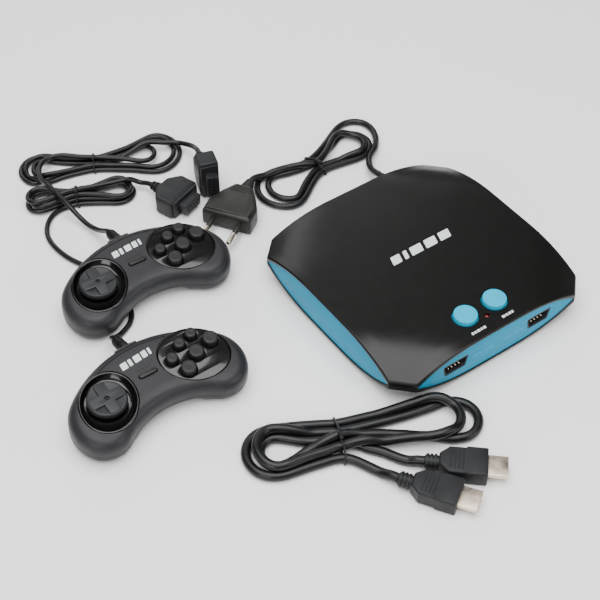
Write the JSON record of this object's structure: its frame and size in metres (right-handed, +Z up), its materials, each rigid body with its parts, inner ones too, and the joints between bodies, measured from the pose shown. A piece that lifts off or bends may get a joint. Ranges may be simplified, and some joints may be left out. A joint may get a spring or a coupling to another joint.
{
  "type": "game console set",
  "caption": "Square low console with domed black top, coloured side panels and round buttons, laid out with wired controllers, a mains lead and a video lead.",
  "frame": {"origin": "on the table, at the middle of the plan box of the console and controllers (leads, plugs and the moulded grips on the leads left out)", "axes": "+Z up from the table, +X along the console's front edge, towards its right as seen from the front, and along the long side of the set; the console's controller ports face -Y"},
  "size_m": [0.3187, 0.4099, 0.0318],
  "materials": {
    "shell_gloss": "high gloss",
    "shell_matte": "satin",
    "panel_blue": "satin",
    "button_blue": "gloss",
    "foot_rubber": "matt",
    "screw_steel": "plain",
    "board_green": "matt",
    "board_tan": "matt",
    "connector_black": "satin",
    "socket_steel": "plain",
    "light_red": "clear tint",
    "cable_black": "satin",
    "plug_black": "satin",
    "pin_metal": "nickel plated",
    "tie_black": "satin",
    "pad_shell": "satin, fine texture",
    "pad_trim": "gloss",
    "pad_key": "satin"
  },
  "bodies": {
    "set": {"top_shell": "shell_gloss", "bottom_shell": "shell_matte", "front_panel": "panel_blue", "rear_panel": "panel_blue", "side_panels": "panel_blue", "rubber_feet": "foot_rubber", "case_screws": "screw_steel", "main_board": "board_green", "power_board": "board_tan", "port_connectors": "connector_black", "video_socket": "socket_steel", "push_switches": "connector_black", "status_light": "light_red", "mains_gland": "cable_black", "mains_cord": "cable_black", "mains_hank": "cable_black", "mains_plug": "plug_black", "mains_pins": "pin_metal", "video_cord": "cable_black", "video_hank": "cable_black", "video_plug_1": "plug_black", "video_plug_2": "plug_black", "cable_ties": "tie_black", "pad_screws": "screw_steel", "pad_1_top_shell": "pad_shell", "pad_1_bottom_shell": "pad_shell", "pad_1_trim": "pad_trim", "pad_1_board": "board_green", "pad_1_cord_grip": "cable_black", "pad_1_cord": "cable_black", "pad_1_hank": "cable_black", "pad_1_plug": "plug_black", "pad_2_top_shell": "pad_shell", "pad_2_bottom_shell": "pad_shell", "pad_2_trim": "pad_trim", "pad_2_board": "board_green", "pad_2_cord_grip": "cable_black", "pad_2_cord": "cable_black", "pad_2_hank": "cable_black", "pad_2_plug": "plug_black"},
    "power_button": {"power_button": "button_blue"},
    "menu_button": {"menu_button": "button_blue"},
    "pad_1_dpad_pivot": {"pad_1_dpad_pivot": "screw_steel"},
    "pad_1_dpad": {"pad_1_dpad": "pad_key"},
    "pad_1_start_button": {"pad_1_start_button": "pad_key"},
    "pad_1_a_button": {"pad_1_a_button": "pad_key"},
    "pad_1_b_button": {"pad_1_b_button": "pad_key"},
    "pad_1_c_button": {"pad_1_c_button": "pad_key"},
    "pad_1_x_button": {"pad_1_x_button": "pad_key"},
    "pad_1_y_button": {"pad_1_y_button": "pad_key"},
    "pad_1_z_button": {"pad_1_z_button": "pad_key"},
    "pad_2_dpad_pivot": {"pad_2_dpad_pivot": "screw_steel"},
    "pad_2_dpad": {"pad_2_dpad": "pad_key"},
    "pad_2_start_button": {"pad_2_start_button": "pad_key"},
    "pad_2_a_button": {"pad_2_a_button": "pad_key"},
    "pad_2_b_button": {"pad_2_b_button": "pad_key"},
    "pad_2_c_button": {"pad_2_c_button": "pad_key"},
    "pad_2_x_button": {"pad_2_x_button": "pad_key"},
    "pad_2_y_button": {"pad_2_y_button": "pad_key"},
    "pad_2_z_button": {"pad_2_z_button": "pad_key"}
  },
  "joints": [
    {"name": "power_button_press", "type": "slide", "parent": "set", "child": "power_button", "axis": [0, 0, -1], "range_m": [0, 0.002], "stiffness_N_per_m": 400, "springref_m": -0.001},
    {"name": "menu_button_press", "type": "slide", "parent": "set", "child": "menu_button", "axis": [0, 0, -1], "range_m": [0, 0.002], "stiffness_N_per_m": 400, "springref_m": -0.001},
    {"name": "pad_1_dpad_front_back", "type": "hinge", "parent": "set", "child": "pad_1_dpad_pivot", "pos_m": [-0.0912, 0.07462, 0.01784], "axis": [0.999, -0.0436, 0], "range_deg": [-5, 5], "stiffness_Nm_per_rad": 0.05},
    {"name": "pad_1_dpad_left_right", "type": "hinge", "parent": "pad_1_dpad_pivot", "child": "pad_1_dpad", "pos_m": [-0.0912, 0.07462, 0.01784], "axis": [0.0432, 0.9893, 0.1392], "range_deg": [-5, 5], "stiffness_Nm_per_rad": 0.05},
    {"name": "pad_1_start_press", "type": "slide", "parent": "set", "child": "pad_1_start_button", "axis": [0.0061, 0.139, -0.9903], "range_m": [0, 0.001], "stiffness_N_per_m": 400, "springref_m": -0.0005},
    {"name": "pad_1_a_press", "type": "slide", "parent": "set", "child": "pad_1_a_button", "axis": [0.0061, 0.139, -0.9903], "range_m": [0, 0.0016], "stiffness_N_per_m": 300, "springref_m": -0.0006},
    {"name": "pad_1_b_press", "type": "slide", "parent": "set", "child": "pad_1_b_button", "axis": [0.0061, 0.139, -0.9903], "range_m": [0, 0.0016], "stiffness_N_per_m": 300, "springref_m": -0.0006},
    {"name": "pad_1_c_press", "type": "slide", "parent": "set", "child": "pad_1_c_button", "axis": [0.0061, 0.139, -0.9903], "range_m": [0, 0.0016], "stiffness_N_per_m": 300, "springref_m": -0.0006},
    {"name": "pad_1_x_press", "type": "slide", "parent": "set", "child": "pad_1_x_button", "axis": [0.0061, 0.139, -0.9903], "range_m": [0, 0.0016], "stiffness_N_per_m": 300, "springref_m": -0.0006},
    {"name": "pad_1_y_press", "type": "slide", "parent": "set", "child": "pad_1_y_button", "axis": [0.0061, 0.139, -0.9903], "range_m": [0, 0.0016], "stiffness_N_per_m": 300, "springref_m": -0.0006},
    {"name": "pad_1_z_press", "type": "slide", "parent": "set", "child": "pad_1_z_button", "axis": [0.0061, 0.139, -0.9903], "range_m": [0, 0.0016], "stiffness_N_per_m": 300, "springref_m": -0.0006},
    {"name": "pad_2_dpad_front_back", "type": "hinge", "parent": "set", "child": "pad_2_dpad_pivot", "pos_m": [-0.1327, -0.0097, 0.01784], "axis": [1, 0, 0], "range_deg": [-5, 5], "stiffness_Nm_per_rad": 0.05},
    {"name": "pad_2_dpad_left_right", "type": "hinge", "parent": "pad_2_dpad_pivot", "child": "pad_2_dpad", "pos_m": [-0.1327, -0.0097, 0.01784], "axis": [0, 0.9903, 0.1392], "range_deg": [-5, 5], "stiffness_Nm_per_rad": 0.05},
    {"name": "pad_2_start_press", "type": "slide", "parent": "set", "child": "pad_2_start_button", "axis": [0, 0.1392, -0.9903], "range_m": [0, 0.001], "stiffness_N_per_m": 400, "springref_m": -0.0005},
    {"name": "pad_2_a_press", "type": "slide", "parent": "set", "child": "pad_2_a_button", "axis": [0, 0.1392, -0.9903], "range_m": [0, 0.0016], "stiffness_N_per_m": 300, "springref_m": -0.0006},
    {"name": "pad_2_b_press", "type": "slide", "parent": "set", "child": "pad_2_b_button", "axis": [0, 0.1392, -0.9903], "range_m": [0, 0.0016], "stiffness_N_per_m": 300, "springref_m": -0.0006},
    {"name": "pad_2_c_press", "type": "slide", "parent": "set", "child": "pad_2_c_button", "axis": [0, 0.1392, -0.9903], "range_m": [0, 0.0016], "stiffness_N_per_m": 300, "springref_m": -0.0006},
    {"name": "pad_2_x_press", "type": "slide", "parent": "set", "child": "pad_2_x_button", "axis": [0, 0.1392, -0.9903], "range_m": [0, 0.0016], "stiffness_N_per_m": 300, "springref_m": -0.0006},
    {"name": "pad_2_y_press", "type": "slide", "parent": "set", "child": "pad_2_y_button", "axis": [0, 0.1392, -0.9903], "range_m": [0, 0.0016], "stiffness_N_per_m": 300, "springref_m": -0.0006},
    {"name": "pad_2_z_press", "type": "slide", "parent": "set", "child": "pad_2_z_button", "axis": [0, 0.1392, -0.9903], "range_m": [0, 0.0016], "stiffness_N_per_m": 300, "springref_m": -0.0006}
  ]
}
